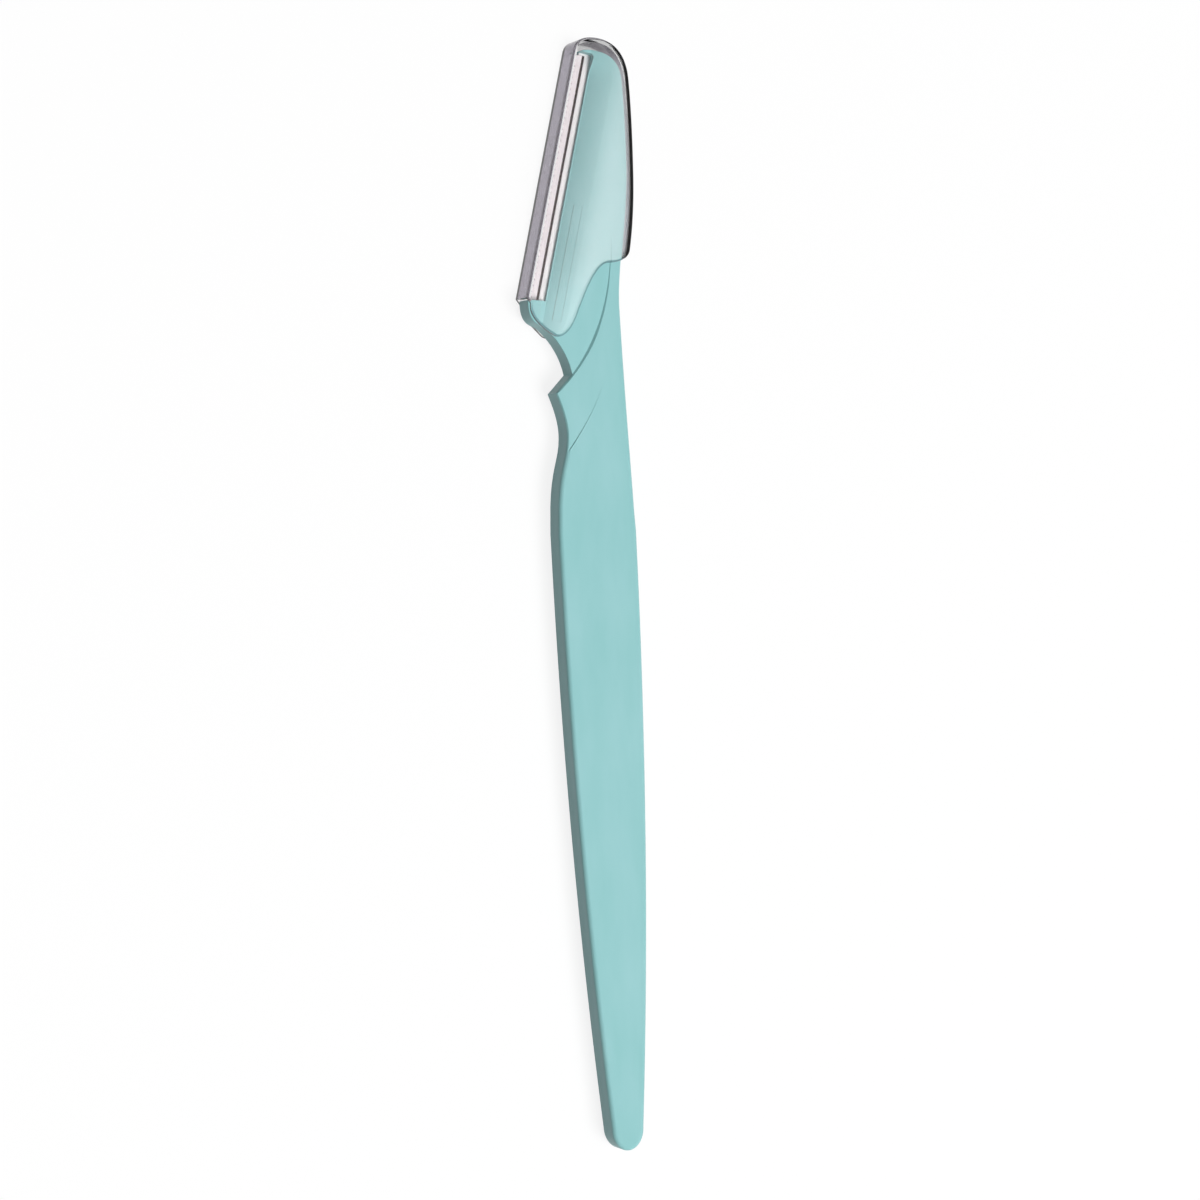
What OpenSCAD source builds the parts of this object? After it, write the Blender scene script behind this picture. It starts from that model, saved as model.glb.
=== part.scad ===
// Eyebrow razor with a slim moulded handle, a guarded steel blade and a clear push-on cap.
// It lies flat: +Y runs along the handle to the blade, the cutting edge faces -X.

/* [Grip] */
// Length of the grip, from the butt to where the neck starts
grip_len = 86; // [75:1:100]
// Greatest width of the grip
grip_w = 11.3; // [9.5:0.1:12.5]
// Width that the grip narrows to at the butt
butt_w = 4.1; // [3:0.1:5]
// Thickness of the grip
grip_t = 4; // [3.8:0.1:4.6]
// Radius round the edges of the moulding
edge_r = 0.6; // [0.3:0.05:0.8]

/* [Neck] */
// Length of the neck, from the grip to the heel of the blade
neck_len = 29.5; // [27:0.5:33]
// How far the heel stands out from the centre line
heel_out = 8.4; // [7.8:0.1:9.2]
// Height of the plastic heel below the blade
heel_h = 3.2; // [2.8:0.1:3.6]
// Drop of the lower petal line where it meets the blade side
petal_drop = 0.16; // [0.08:0.01:0.25]

/* [Head] */
// Lean of the head from the centre line, in degrees
head_angle = 14.5; // [11:0.5:17]
// Length of the head, from the heel of the blade to the tip
head_len = 35.2; // [32:0.1:40]
// Width of the head beside the heel
head_w = 12.55; // [11:0.1:13.5]
// Thickness of the head
head_t = 3.3; // [3:0.05:3.6]
// Thickness that the hollow bevel leaves beside the blade
bevel_t = 1.5; // [1.4:0.05:1.9]
// Width of the hollow bevel beside the blade
bevel_w = 5; // [3.5:0.1:6]
// Width of the window that leaves the blade bare
window_w = 2.75; // [2.4:0.05:3]
// Radius in the upper corner of the window
window_r = 0.5; // [0.4:0.1:1.2]
// Plastic left over the end of the blade at the tip
lip_h = 0.6; // [0.5:0.05:1.2]
// How far the tip lip is drawn back from the line of the heel
lip_in = 0.45; // [0.4:0.05:0.7]

/* [Blade] */
// How far the cutting edge is drawn back from the line of the heel
blade_in = 0.85; // [0.8:0.01:1]
// Width of the blade, from its edge to its back
blade_w = 5.3; // [4.8:0.1:5.8]
// Thickness of the blade
blade_t = 0.25; // [0.2:0.01:0.3]
// Width of the ground bevel at the cutting edge
grind_w = 0.7; // [0.4:0.05:0.85]
// Length of blade held in the heel
blade_tuck = 0.8; // [0.5:0.1:1.2]
// Holes that the moulding grows through
post_count = 3; // [2:1:4]
// Diameter of those holes
post_hole_d = 1.6; // [1.2:0.1:1.8]

/* [Edge guard] */
// Thickness of the folded guard foil
foil_t = 0.12; // [0.08:0.01:0.14]
// Width of the guard on each face of the blade
guard_w = 0.75; // [0.65:0.05:0.9]
// Length of the comb slots, measured from the cutting edge
slot_l = 0.12; // [0.08:0.01:0.3]
// Width of one comb slot
slot_w = 0.45; // [0.3:0.05:0.5]
// Distance from one comb slot to the next
slot_pitch = 0.8; // [0.7:0.05:1.2]

/* [Blade carrier] */
// Thickness of the folded carrier strip
carrier_t = 0.25; // [0.2:0.01:0.3]
// Gap between the guard and the front of the carrier
carrier_gap = 0.33; // [0.25:0.01:0.4]
// Height of the hook that the carrier folds round the tip of the blade
hook_h = 0.3; // [0.2:0.05:0.6]

/* [Cap] */
// Wall at the sides and the tip of the cap
cap_wall = 0.6; // [0.5:0.05:0.7]
// Wall of the two broad faces of the cap
cap_face = 0.7; // [0.65:0.05:0.9]
// Clearance between the sides of the head and the cap
cap_gap = 0.23; // [0.18:0.01:0.3]
// Clearance between the faces of the head and the cap
face_gap = 0.3; // [0.25:0.01:0.4]
// Free space between the tip of the head and the cap
tip_gap = 1; // [0.6:0.1:1.5]
// Radius round the edges of the cap
cap_edge_r = 0.35; // [0.3:0.05:0.6]
// How far the skirt of the cap reaches below the heel of the blade
skirt_h = 3.95; // [3.5:0.05:4.3]
// How far the tongue of the skirt stays inside the plastic heel
tongue_in = 0.35; // [0.1:0.05:0.6]
// Height of the rim on the spine side, above the heel of the blade
rim_rise = 9.8; // [9:0.1:12]
// Distance of the guide ribs from the window
rib_in = 1.05; // [0.8:0.05:1.4]
// Width of the guide ribs inside the cap
rib_w = 1.25; // [0.8:0.05:1.6]
// Height of the guide ribs inside the cap
rib_h = 0.15; // [0.1:0.01:0.2]

/* [Hidden] */
$fn = 48;

// Clearance between pieces that the moulding or a fold holds fast
snug = 0.02;
// What a cut runs past the piece that it cuts
overrun = 1;
// What a cut reaches past the outline of the head
reach = head_w;
// Steps of a rounded edge, of the butt's quarter and of a petal line
round_steps = 3;
butt_steps = 6;
petal_steps = 12;
// Steps along the spine side of the neck and the head, and along the blade side
spine_steps = [23, 9, 7, 8];
blade_side_steps = [6, 6, 7, 3, 19, 5];
// Steps of the cap's rim, of its wall on the spine side, and of its blade side
rim_steps = [5, 6, 3];
cap_wall_steps = [4, 6, 8];
cap_blade_steps = [8, 18, 7];

half_w = grip_w / 2;
heel = [-heel_out, grip_len + neck_len];
cap_t = head_t + 2 * (face_gap + cap_face);
cap_off = cap_gap + cap_wall;
cap_left = lip_in - cap_off;
cap_top = head_len + tip_gap + cap_wall;
window_top = head_len - lip_h;
guard_out = blade_t / 2 + snug + foil_t;
guard_left = blade_in - snug - foil_t;
carrier_left = blade_in + guard_w + carrier_gap;
carrier_out = blade_t / 2 + snug + carrier_t;
carrier_right = blade_in + blade_w + snug + carrier_t;
pocket_out = carrier_out + snug;
blade_len = blade_tuck + window_top - snug;
hook_y = window_top - snug - hook_h;

// Points from the head's own frame, with its origin at the heel and +Y along the edge
function from_head(p) = [
    heel.x + p.x * cos(head_angle) + p.y * sin(head_angle),
    heel.y - p.x * sin(head_angle) + p.y * cos(head_angle)
];
function all_from_head(points) = [for (p = points) from_head(p)];

// Points given as shares of a width and a length
function scaled(shares, w, l) = [for (s = shares) [s.x * w, s.y * l]];

// A cubic curve over four control points, without its last point, and a straight line alike
function curve(p, steps, first = 0) = [
    for (i = [first : steps - 1]) let (s = i / steps, q = 1 - s)
        q * q * q * p[0] + 3 * q * q * s * p[1] + 3 * q * s * s * p[2] + s * s * s * p[3]
];
function line(a, b, steps) = [for (i = [0 : steps - 1]) a + (b - a) * i / steps];
function reversed(list) = [for (i = [len(list) - 1 : -1 : 0]) list[i]];

// The neck, as shares of the grip's half width and the neck's length
shoulder_shares = [[-0.981, 0], [-0.944, 0.22], [-0.694, 0.264], [-0.667, 0.359]];
lower_scallop_shares = [[-0.667, 0.359], [-0.628, 0.434], [-0.779, 0.515], [-0.89, 0.571]];
upper_scallop_shares = [[-0.455, 0.655], [-0.54, 0.753], [-0.885, 0.854]];
neck_back_shares = [[0.981, 0], [0.944, 0.271], [0.882, 0.576]];
petal_a_shares = [[-0.89, 0.571], [-0.054, 0.712], [0.69, 0.932]];
petal_b_shares = [[-0.699, 0.292], [-0.23, 0.407], [0.354, 0.559], [0.46, 0.725]];

// The heel, as shares of how far it stands out and of its height
heel_shares = [[0.13, -1], [0.01, -0.8], [-0.01, -0.4], [0, 0]];

// The head's back and tip, as shares of its width and its length
head_back_shares = [[1.055, 0.051], [0.949, 0.1875], [0.944, 0.393], [0.828, 0.585]];
head_spine_shares = [[0.828, 0.585], [0.754, 0.7], [0.656, 0.834], [0.574, 0.925]];
head_tip_shares = [[0.574, 0.925], [0.516, 0.979], [0.41, 1], [0.262, 1]];
lip_shares = [[0.262, 1], [0.164, 1]];
petal_end_shares = [0.778, 0.335];

// The rim of the cap, as shares of the head's width, and of the skirt or the rim's rise
skirt_shares = [[0.36, -1], [0.454, -1.063], [0.545, -0.7], [0.575, 0.08]];
rim_up_shares = [[0.612, 0.265], [0.669, 0.735], [0.822, 0.765]];
rim_end_shares = [[0.822, 0.765], [0.924, 0.796], [1.03, 0.878], [1.03, 1]];
cap_foot_shares = [[0.175, -0.823], [0, -0.5]];

// The cap's wall on the spine side, and its top, as shares of the head's width and length
cap_side_shares = [[1.014, 0.379], [0.956, 0.495]];
cap_tip_shares = [0.44, 0.245, 0.1];
shoulder_share = 0.8;

// Outline of the grip's side: it swells from the round butt to its full width
grip_swell = 2.1;
function grip_half(y) = butt_w / 2 + (half_w - butt_w / 2) * (1 - pow(1 - min(1, y / grip_len), grip_swell));
grip_steps_shares = [0.035, 0.07, 0.12, 0.19, 0.28, 0.38, 0.49, 0.61, 0.74, 0.87];
function grip_side(side) = [for (s = grip_steps_shares) [side * grip_half(s * grip_len), s * grip_len]];
butt_join = grip_steps_shares[0] * grip_len;
butt_half = grip_half(butt_join);
function butt_arc(side) = [
    for (i = [0 : butt_steps - 1]) let (a = 90 * (i + 0.5) / butt_steps)
        [side * butt_half * sin(a), butt_join * (1 - cos(a))]
];

// Shares of the neck, measured from its foot on the centre line
neck_foot = [0, grip_len];
function neck(shares) = [for (p = scaled(shares, half_w, neck_len)) p + neck_foot];
function head(shares) = all_from_head(scaled(shares, head_w, head_len));
petal_end = head([petal_end_shares])[0];
lip_end = [lip_in, window_top - edge_r];
heel_curve = [for (p = scaled(heel_shares, heel_out, heel_h)) p + heel];

// The spine side of the moulding, from the butt to the top of the tip
spine_chain = concat(
    butt_arc(1),
    grip_side(1),
    curve(concat(neck(neck_back_shares), [head(head_back_shares)[0]]), spine_steps[0]),
    curve(head(head_back_shares), spine_steps[1]),
    curve(head(head_spine_shares), spine_steps[2]),
    curve(head(head_tip_shares), spine_steps[3])
);

// The blade side, with as many points and at about the same heights
blade_chain = concat(
    butt_arc(-1),
    grip_side(-1),
    curve(neck(shoulder_shares), blade_side_steps[0]),
    curve(neck(lower_scallop_shares), blade_side_steps[1]),
    [neck(lower_scallop_shares)[3]],
    curve(concat(neck(upper_scallop_shares), [heel_curve[0]]), blade_side_steps[2]),
    curve(heel_curve, blade_side_steps[3]),
    line(heel, from_head(lip_end), blade_side_steps[4]),
    [from_head(lip_end)],
    curve(all_from_head([lip_end, [lip_in, head_len - edge_r / 2],
        scaled(lip_shares, head_w, head_len)[1], scaled(lip_shares, head_w, head_len)[0]]),
        blade_side_steps[5], 1)
);

// Moves each point of a closed counterclockwise outline inwards, square to the outline
function unit(v) = v / norm(v);
function inward(a, b) = let (d = unit(b - a)) [-d.y, d.x];
function inset(points, depth) = [
    for (i = [0 : len(points) - 1])
        let (
            before = points[(i + len(points) - 1) % len(points)],
            after = points[(i + 1) % len(points)],
            n1 = inward(before, points[i]),
            n2 = inward(points[i], after),
            n = unit(n1 + n2)
        )
        points[i] + n * depth / max(n * n1, 0.5)
];

// A plate with rounded edges between two chains of as many points, both from its foot to its top:
// rings that draw in at both faces, and faces closed by rungs from one chain to the other
module rounded_plate(right, left, thickness, r) {
    count = len(right);
    n = 2 * count;
    outline = concat(right, reversed(left));
    low = [for (k = [0 : round_steps]) let (a = 90 * k / round_steps)
        [r * (1 - sin(a)), -thickness / 2 + r * (1 - cos(a))]];
    levels = concat(low, [for (k = [round_steps : -1 : 0]) [low[k].x, -low[k].y]]);
    top = (len(levels) - 1) * n;
    polyhedron(
        points = [for (level = levels) for (p = inset(outline, level.x)) [p.x, p.y, level.y]],
        faces = concat(
            [for (i = [0 : count - 2])
                each [[i, i + 1, n - 2 - i], [i, n - 2 - i, n - 1 - i]]],
            [for (i = [0 : count - 2])
                each [[top + i, top + n - 2 - i, top + i + 1], [top + i, top + n - 1 - i, top + n - 2 - i]]],
            [for (k = [0 : n : top - n]) for (i = [0 : n - 1]) let (j = (i + 1) % n)
                each [[k + i, k + n + i, k + n + j], [k + i, k + n + j, k + j]]]
        ),
        convexity = 8
    );
}

// Sets its children in the head's frame
module in_head() {
    translate([heel.x, heel.y, 0])
        rotate([0, 0, -head_angle])
            children();
}

// Repeats its children on the upper and the lower face
module both_faces() {
    children();
    mirror([0, 0, 1])
        children();
}

// What the faces lose beyond the upper petal line, down to the head's thickness
module head_face_cut() {
    line = concat(curve(concat(neck(petal_a_shares), [petal_end]), petal_steps), [petal_end]);
    run_in = line[0] - unit(line[1] - line[0]) * reach / 2;
    far = heel.y + head_len + reach;
    translate([0, 0, head_t / 2])
        linear_extrude(grip_t)
            polygon(concat([run_in], line, [[reach, petal_end.y], [reach, far], [run_in.x - reach, far],
                [run_in.x - reach, run_in.y]]));
}

// The gentle ramp on the spine side, from the grip's thickness to the head's
module neck_ramp_cut() {
    foot = neck(petal_b_shares)[3].y + edge_r;
    rise = petal_end.y - foot;
    slope = atan((grip_t - head_t) / 2 / rise);
    translate([0, foot, grip_t / 2])
        rotate([-slope, 0, 0])
            translate([-reach, 0, 0])
                cube([2 * reach, rise / cos(slope), grip_t]);
}

// The lower petal, a shallow face that fades out towards the spine
module petal_cut() {
    line = concat(curve(neck(petal_b_shares), petal_steps), [neck(petal_b_shares)[3]]);
    last = line[petal_steps];
    fade = (line[petal_steps - 3] + line[petal_steps - 2]) / 2;
    run_in = line[0] - unit(line[1] - line[0]) * reach / 2;
    slope = atan(petal_drop / (fade.x - line[0].x));
    translate([fade.x, 0, grip_t / 2])
        rotate([0, -slope, 0])
            translate([-fade.x, 0, 0])
                linear_extrude(grip_t)
                    polygon(concat([run_in], line, [[last.x, petal_end.y], [run_in.x - reach, petal_end.y],
                        [run_in.x - reach, run_in.y]]));
}

// The hollow bevel beside the blade: deepest along the window, it runs out across the face and at the heel
bevel_across_shares = [-0.5, 0, 0.17, 0.34, 0.52, 0.7, 0.88, 1.06];
bevel_along_shares = [-0.2, -0.15, -0.1, -0.05, 0, 0.06, 0.4, 0.75, 1.1];
bevel_heel_share = 0.2;
module bevel_cut() {
    depth = (head_t - bevel_t) / 2;
    lift = depth / 8;
    rows = len(bevel_along_shares);
    n = len(bevel_across_shares);
    function run_out(v) = let (s = min(1, max(0, (v + bevel_heel_share) / bevel_heel_share))) s * s * (3 - 2 * s);
    function hollow(u, v) = head_t / 2 + lift - (depth + lift) * pow(1 - max(0, u), 2) * run_out(v);
    function grid(flat) = [
        for (v = bevel_along_shares) for (u = bevel_across_shares)
            [window_w + u * bevel_w, v * window_top, flat ? grip_t : hollow(min(u, 1), v)]
    ];
    top = rows * n;
    last = n * (rows - 1);
    polyhedron(
        points = concat(grid(false), grid(true)),
        faces = concat(
            [for (r = [0 : rows - 2]) for (c = [0 : n - 2]) let (i = r * n + c)
                each [[i, i + 1, i + n + 1], [i, i + n + 1, i + n],
                    [top + i, top + i + n + 1, top + i + 1], [top + i, top + i + n, top + i + n + 1]]],
            [for (c = [0 : n - 2])
                each [[c, top + c, c + 1], [c + 1, top + c, top + c + 1],
                    [last + c, last + c + 1, top + last + c], [last + c + 1, top + last + c + 1, top + last + c]]],
            [for (r = [0 : rows - 2]) let (a = r * n, b = a + n, c = a + n - 1, d = b + n - 1)
                each [[a, b, top + a], [b, top + b, top + a], [c, top + c, d], [d, top + c, top + d]]]
        ),
        convexity = 6
    );
}

// The window that leaves the blade bare, with a rounded upper corner
module window_cut() {
    linear_extrude(2 * grip_t, center = true)
        difference() {
            polygon([
                [-reach, -overrun], [-snug, 0], [window_w, slot_w],
                [window_w, window_top], [-reach, window_top]
            ]);
            translate([window_w - window_r, window_top - window_r])
                difference() {
                    square(window_r + overrun);
                    circle(window_r);
                }
        }
}

// The pocket inside the moulding that grips the blade with its guard and carrier
module metal_pocket() {
    linear_extrude(2 * pocket_out, center = true)
        translate([guard_left - snug, -blade_tuck - snug])
            square([carrier_right - guard_left + 2 * snug, window_top + blade_tuck + snug]);
}

// Posts of the moulding that lock the blade through its holes
module posts(d, height) {
    pitch = window_top / post_count;
    for (i = [0 : post_count - 1])
        translate([(carrier_left + carrier_right) / 2 + window_w / 4, (i + 0.5) * pitch])
            cylinder(h = height, d = d, center = true);
}

module handle() {
    color("mediumturquoise") {
        difference() {
            rounded_plate(spine_chain, blade_chain, grip_t, edge_r);
            both_faces() {
                head_face_cut();
                neck_ramp_cut();
                petal_cut();
                in_head()
                    bevel_cut();
            }
            in_head() {
                window_cut();
                metal_pocket();
            }
        }
        in_head()
            posts(post_hole_d - 2 * snug, 2 * pocket_out + blade_t);
    }
}

// A strip along the edge, from its profile across the blade
module strip(profile, from_y, to_y) {
    translate([0, to_y, 0])
        rotate([90, 0, 0])
            linear_extrude(to_y - from_y)
                polygon(profile);
}

module blade() {
    half = blade_t / 2;
    back = blade_in + blade_w;
    color("gainsboro")
        in_head()
            difference() {
                strip([[blade_in, 0], [blade_in + grind_w, -half], [back, -half], [back, half],
                    [blade_in + grind_w, half]], -blade_tuck, window_top - snug);
                posts(post_hole_d, blade_t + 2 * overrun);
            }
}

// A fine foil folded round the cutting edge, slotted like a comb so that the edge just shows
module edge_guard() {
    inner = blade_t / 2 + snug;
    right = blade_in + guard_w;
    top = hook_y - snug;
    slots = floor((top - 2 * slot_w) / slot_pitch);
    color("white")
        in_head()
            difference() {
                strip([[guard_left, -guard_out], [right, -guard_out], [right, -inner], [guard_left + foil_t, -inner],
                    [guard_left + foil_t, inner], [right, inner], [right, guard_out], [guard_left, guard_out]],
                    -blade_tuck, top);
                for (i = [0 : slots - 1])
                    translate([guard_left - overrun, slot_w + i * slot_pitch, -overrun])
                        cube([blade_in + slot_l - guard_left + overrun, slot_w, 2 * overrun]);
            }
}

// A steel strip folded over the back of the blade, with a hook round its tip end
module blade_carrier() {
    inner = blade_t / 2 + snug;
    hook_left = blade_in + grind_w / 4;
    color("lightsteelblue")
        in_head()
            difference() {
                union() {
                    strip([[carrier_left, -carrier_out], [carrier_right, -carrier_out], [carrier_right, carrier_out],
                        [carrier_left, carrier_out]], -blade_tuck, window_top - snug);
                    translate([hook_left, hook_y, -carrier_out])
                        cube([carrier_right - hook_left, hook_h, 2 * carrier_out]);
                }
                translate([hook_left - overrun, -blade_tuck - overrun, -inner])
                    cube([blade_in + blade_w + snug - hook_left + overrun, blade_len + 2 * overrun, 2 * inner]);
                posts(post_hole_d, grip_t);
            }
}

// The cap, from the lower end of its spine side over the tip and down the cutting edge to the rim
cap_spine = [for (p = scaled(head_spine_shares, head_w, head_len)) p + [cap_off, 0]];
cap_shoulder = [cap_spine[3], cap_spine[3] + (cap_spine[3] - cap_spine[2]) * shoulder_share,
    [head_w * cap_tip_shares[0], cap_top], [head_w * cap_tip_shares[1], cap_top]];
cap_corner = [cap_shoulder[3], [head_w * cap_tip_shares[2], cap_top], [cap_left, cap_top - cap_wall],
    [cap_left, head_len - cap_wall]];
skirt = scaled(skirt_shares, head_w, skirt_h);
rim_up = concat([skirt[3]], scaled(rim_up_shares, head_w, rim_rise));
rim_end = scaled(rim_end_shares, head_w, rim_rise);
cap_side = concat([rim_end[3]], scaled(cap_side_shares, head_w, head_len), [cap_spine[0]]);
foot_points = scaled(cap_foot_shares, head_w, skirt_h);
cap_foot = [skirt[0], foot_points[0], [tongue_in, foot_points[1].y], [tongue_in, -cap_off / 2]];

// Both sides of the cap, from the foot of the skirt to the top
cap_walls = concat(
    curve(cap_side, cap_wall_steps[0]),
    curve(cap_spine, cap_wall_steps[1]),
    curve(cap_shoulder, cap_wall_steps[2]),
    [cap_shoulder[3]]
);
cap_right = concat(curve(skirt, rim_steps[0]), curve(rim_up, rim_steps[1]), curve(rim_end, rim_steps[2]), cap_walls);
cap_blade_side = concat(
    curve(cap_foot, cap_blade_steps[0], 1),
    [cap_foot[3]],
    line([cap_left, cap_gap], cap_corner[3], cap_blade_steps[1]),
    [cap_corner[3]],
    reversed(curve(cap_corner, cap_blade_steps[2], 1))
);

// The space inside the cap, open at the rim and beside the plastic heel
module cap_cavity() {
    inner = inset(concat(cap_right, reversed(cap_blade_side)), cap_wall);
    first = len(cap_right) - len(cap_walls);
    last = len(cap_right) + cap_blade_steps[2] - 1;
    linear_extrude(head_t + 2 * face_gap, center = true)
        polygon(concat(
            [[inner[first].x, -reach]],
            [for (i = [first : last]) inner[i]],
            [[cap_left + cap_wall, cap_gap], [-reach, cap_gap], [-reach, -reach]]
        ));
}

// Low ribs inside both faces that keep the cap steady beside the blade
module guide_ribs() {
    ceiling = head_t / 2 + face_gap;
    both_faces()
        translate([window_w + rib_in, -skirt_h / 2, ceiling - rib_h])
            cube([rib_w, (window_top + skirt_h) / 2, rib_h + cap_face / 4]);
}

module cap() {
    color("lightcyan", 0.45)
        in_head() {
            difference() {
                rounded_plate(cap_right, cap_blade_side, cap_t, cap_edge_r);
                cap_cavity();
            }
            guide_ribs();
        }
}

// The resting place: the middle of the outline, with the cap's lower face on the ground
origin_x = (from_head([cap_left, -cap_off]).x + from_head(cap_spine[1]).x) / 2;
origin_y = from_head([head_w / 5, cap_top]).y / 2;
module placed() {
    translate([-origin_x, -origin_y, cap_t / 2])
        children();
}

placed() handle();
placed() blade();
placed() edge_guard();
placed() blade_carrier();
placed() cap();
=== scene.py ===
import math

import bpy
from mathutils import Matrix, Vector


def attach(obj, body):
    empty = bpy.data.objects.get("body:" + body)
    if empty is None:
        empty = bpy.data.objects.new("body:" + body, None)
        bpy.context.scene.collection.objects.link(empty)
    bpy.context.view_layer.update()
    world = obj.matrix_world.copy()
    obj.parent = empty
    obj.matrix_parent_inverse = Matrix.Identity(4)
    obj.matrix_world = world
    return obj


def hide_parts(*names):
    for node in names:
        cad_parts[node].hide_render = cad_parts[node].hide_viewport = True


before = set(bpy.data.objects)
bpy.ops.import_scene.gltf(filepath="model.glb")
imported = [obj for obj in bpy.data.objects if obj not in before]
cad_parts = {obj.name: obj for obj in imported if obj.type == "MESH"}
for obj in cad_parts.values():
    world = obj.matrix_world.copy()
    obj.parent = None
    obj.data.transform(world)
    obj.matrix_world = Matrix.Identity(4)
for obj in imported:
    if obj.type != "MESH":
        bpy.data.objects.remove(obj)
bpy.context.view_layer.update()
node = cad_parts
bpy.ops.object.select_all(action="DESELECT")

# --- View and light ---------------------------------------------------------------------------
# The razor lies on its back on a white table. The camera looks down on it, leaning 22 degrees
# towards its cutting side, with the handle running down the picture.
LEAN = math.radians(22)
TURN = math.radians(3.14)
AIM = Vector((0.0003, -0.0005, 0.00465))
DISTANCE = 0.51
SENSOR, PICTURE_WIDTH = 36, 0.162
picture_up = Vector((math.sin(TURN), math.cos(TURN), 0))
picture_right = Vector((math.cos(TURN), -math.sin(TURN), 0))
up = Vector((0, 0, 1))
toward_camera = math.cos(LEAN) * up - math.sin(LEAN) * picture_right
camera_right = math.cos(LEAN) * picture_right + math.sin(LEAN) * up
camera_axes = Matrix((camera_right, picture_up, toward_camera)).transposed()
bpy.ops.object.camera_add(
    location=AIM + DISTANCE * toward_camera, rotation=camera_axes.to_euler()
)
camera = bpy.context.object
camera.name = "view_from_above"
camera.data.sensor_width = SENSOR
camera.data.lens = SENSOR * DISTANCE / PICTURE_WIDTH
camera.data.clip_start = 0.01
bpy.context.scene.camera = camera
bpy.context.scene.view_settings.view_transform = "Standard"

PANEL_DISTANCE = 2.4


def soft_light(name, direction, size, power):
    """A panel lamp that looks at the razor from that direction."""
    place = AIM + PANEL_DISTANCE * Vector(direction).normalized()
    bpy.ops.object.light_add(type="AREA", location=place)
    lamp = bpy.context.object
    lamp.name = name
    lamp.rotation_euler = (place - AIM).to_track_quat("Z", "Y").to_euler()
    lamp.data.size = size
    lamp.data.energy = power
    return lamp


key_panel = soft_light("key_panel", (0.25, -0.4, 1.0), 1.2, 58)
key_panel.visible_glossy = False
key_panel.visible_transmission = False

# A narrow round panel, which the bright strips and the cap mirror
side_panel = soft_light("side_panel", (0.46, 0.0, 1.0), 1.5, 0.43)
side_panel.data.shape = "DISK"
side_panel.data.spread = math.radians(26)

room = bpy.data.worlds.new("room_light")
bpy.context.scene.world = room
room.use_nodes = True
room.node_tree.nodes["Background"].inputs["Color"].default_value = (1, 1, 1, 1)
room.node_tree.nodes["Background"].inputs["Strength"].default_value = 0.12


def feed(links, socket, value):
    """Sets a socket to a plain number, or links it to another node's output."""
    if isinstance(value, (int, float)):
        socket.default_value = value
    else:
        links.new(value, socket)


def worked_out(nodes, links, way, *values):
    """A number that is worked out from one or two others."""
    step = nodes.new("ShaderNodeMath")
    step.operation = way
    for socket, value in zip(step.inputs, values):
        feed(links, socket, value)
    return step.outputs[0]


def blended(nodes, links, share, first, second):
    """Two shaders in one, with that share of the second."""
    mix = nodes.new("ShaderNodeMixShader")
    for socket, value in zip(mix.inputs, (share, first, second)):
        feed(links, socket, value)
    return mix.outputs[0]


# The table is a white sheet. Its own colour gives the white to whoever looks at it, the rest of
# its light comes from the lamps and keeps the soft shadow, and it throws little light back.
OWN_WHITE = 0.86
bpy.ops.mesh.primitive_plane_add(size=4, location=(0, 0, 0))
table_top = bpy.context.object
table_top.name = "table_top"
paper = bpy.data.materials.new("white_table")
paper.use_nodes = True
nodes, links = paper.node_tree.nodes, paper.node_tree.links
nodes.clear()
sheets = []
for kind, grey in (("Emission", 1), ("BsdfDiffuse", 0.95), ("BsdfDiffuse", 0.4)):
    sheet = nodes.new("ShaderNode" + kind)
    sheet.inputs["Color"].default_value = (grey, grey, grey, 1)
    sheets.append(sheet.outputs[0])
glow, matt, bounce = sheets
rays = nodes.new("ShaderNodeLightPath").outputs
seen = worked_out(nodes, links, "MAXIMUM", rays["Is Camera Ray"], rays["Is Glossy Ray"])
seen = worked_out(nodes, links, "MAXIMUM", seen, rays["Is Transmission Ray"])
white = blended(nodes, links, OWN_WHITE, matt, glow)
table_out = nodes.new("ShaderNodeOutputMaterial")
links.new(blended(nodes, links, seen, bounce, white), table_out.inputs["Surface"])
table_top.data.materials.append(paper)


# --- Handle -----------------------------------------------------------------------------------
# One injection moulding in satin teal plastic, from the round butt over the slim grip and the
# petal-stepped neck to the head that holds the blade. Both faces are alike. It is modelled lying
# along +Y with its butt at the origin, in mm, and then laid in its place.
GRIP_LENGTH, GRIP_HALF, BUTT_HALF, GRIP_THICK = 86, 5.65, 2.05, 4
NECK_LENGTH, HEEL_OUT, HEEL_HEIGHT = 29.5, 8.4, 3.2
HEAD_LEAN, HEAD_WIDTH, HEAD_LENGTH, HEAD_THICK = math.radians(14.5), 12.55, 35.2, 3.3
EDGE_RADIUS = 0.6
WINDOW_WIDTH, WINDOW_TOP, WINDOW_RADIUS = 2.75, 34.6, 0.5
LIP_BACK = 0.45
MM = 0.001
BUTT_PLACE = Vector((0.6207, -75.2497, 2.65))


def head_point(x, y):
    """A point of the head's own frame, which starts at the heel and runs along the blade."""
    return Vector((
        -HEEL_OUT + x * math.cos(HEAD_LEAN) + y * math.sin(HEAD_LEAN),
        GRIP_LENGTH + NECK_LENGTH - x * math.sin(HEAD_LEAN) + y * math.cos(HEAD_LEAN),
    ))


def neck_points(*shares):
    """Points of the neck, as shares of the grip's half width and the neck's length."""
    return [Vector((x * GRIP_HALF, GRIP_LENGTH + y * NECK_LENGTH)) for x, y in shares]


def head_points(*shares):
    """Points of the head, as shares of its width and its length."""
    return [head_point(x * HEAD_WIDTH, y * HEAD_LENGTH) for x, y in shares]


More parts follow.
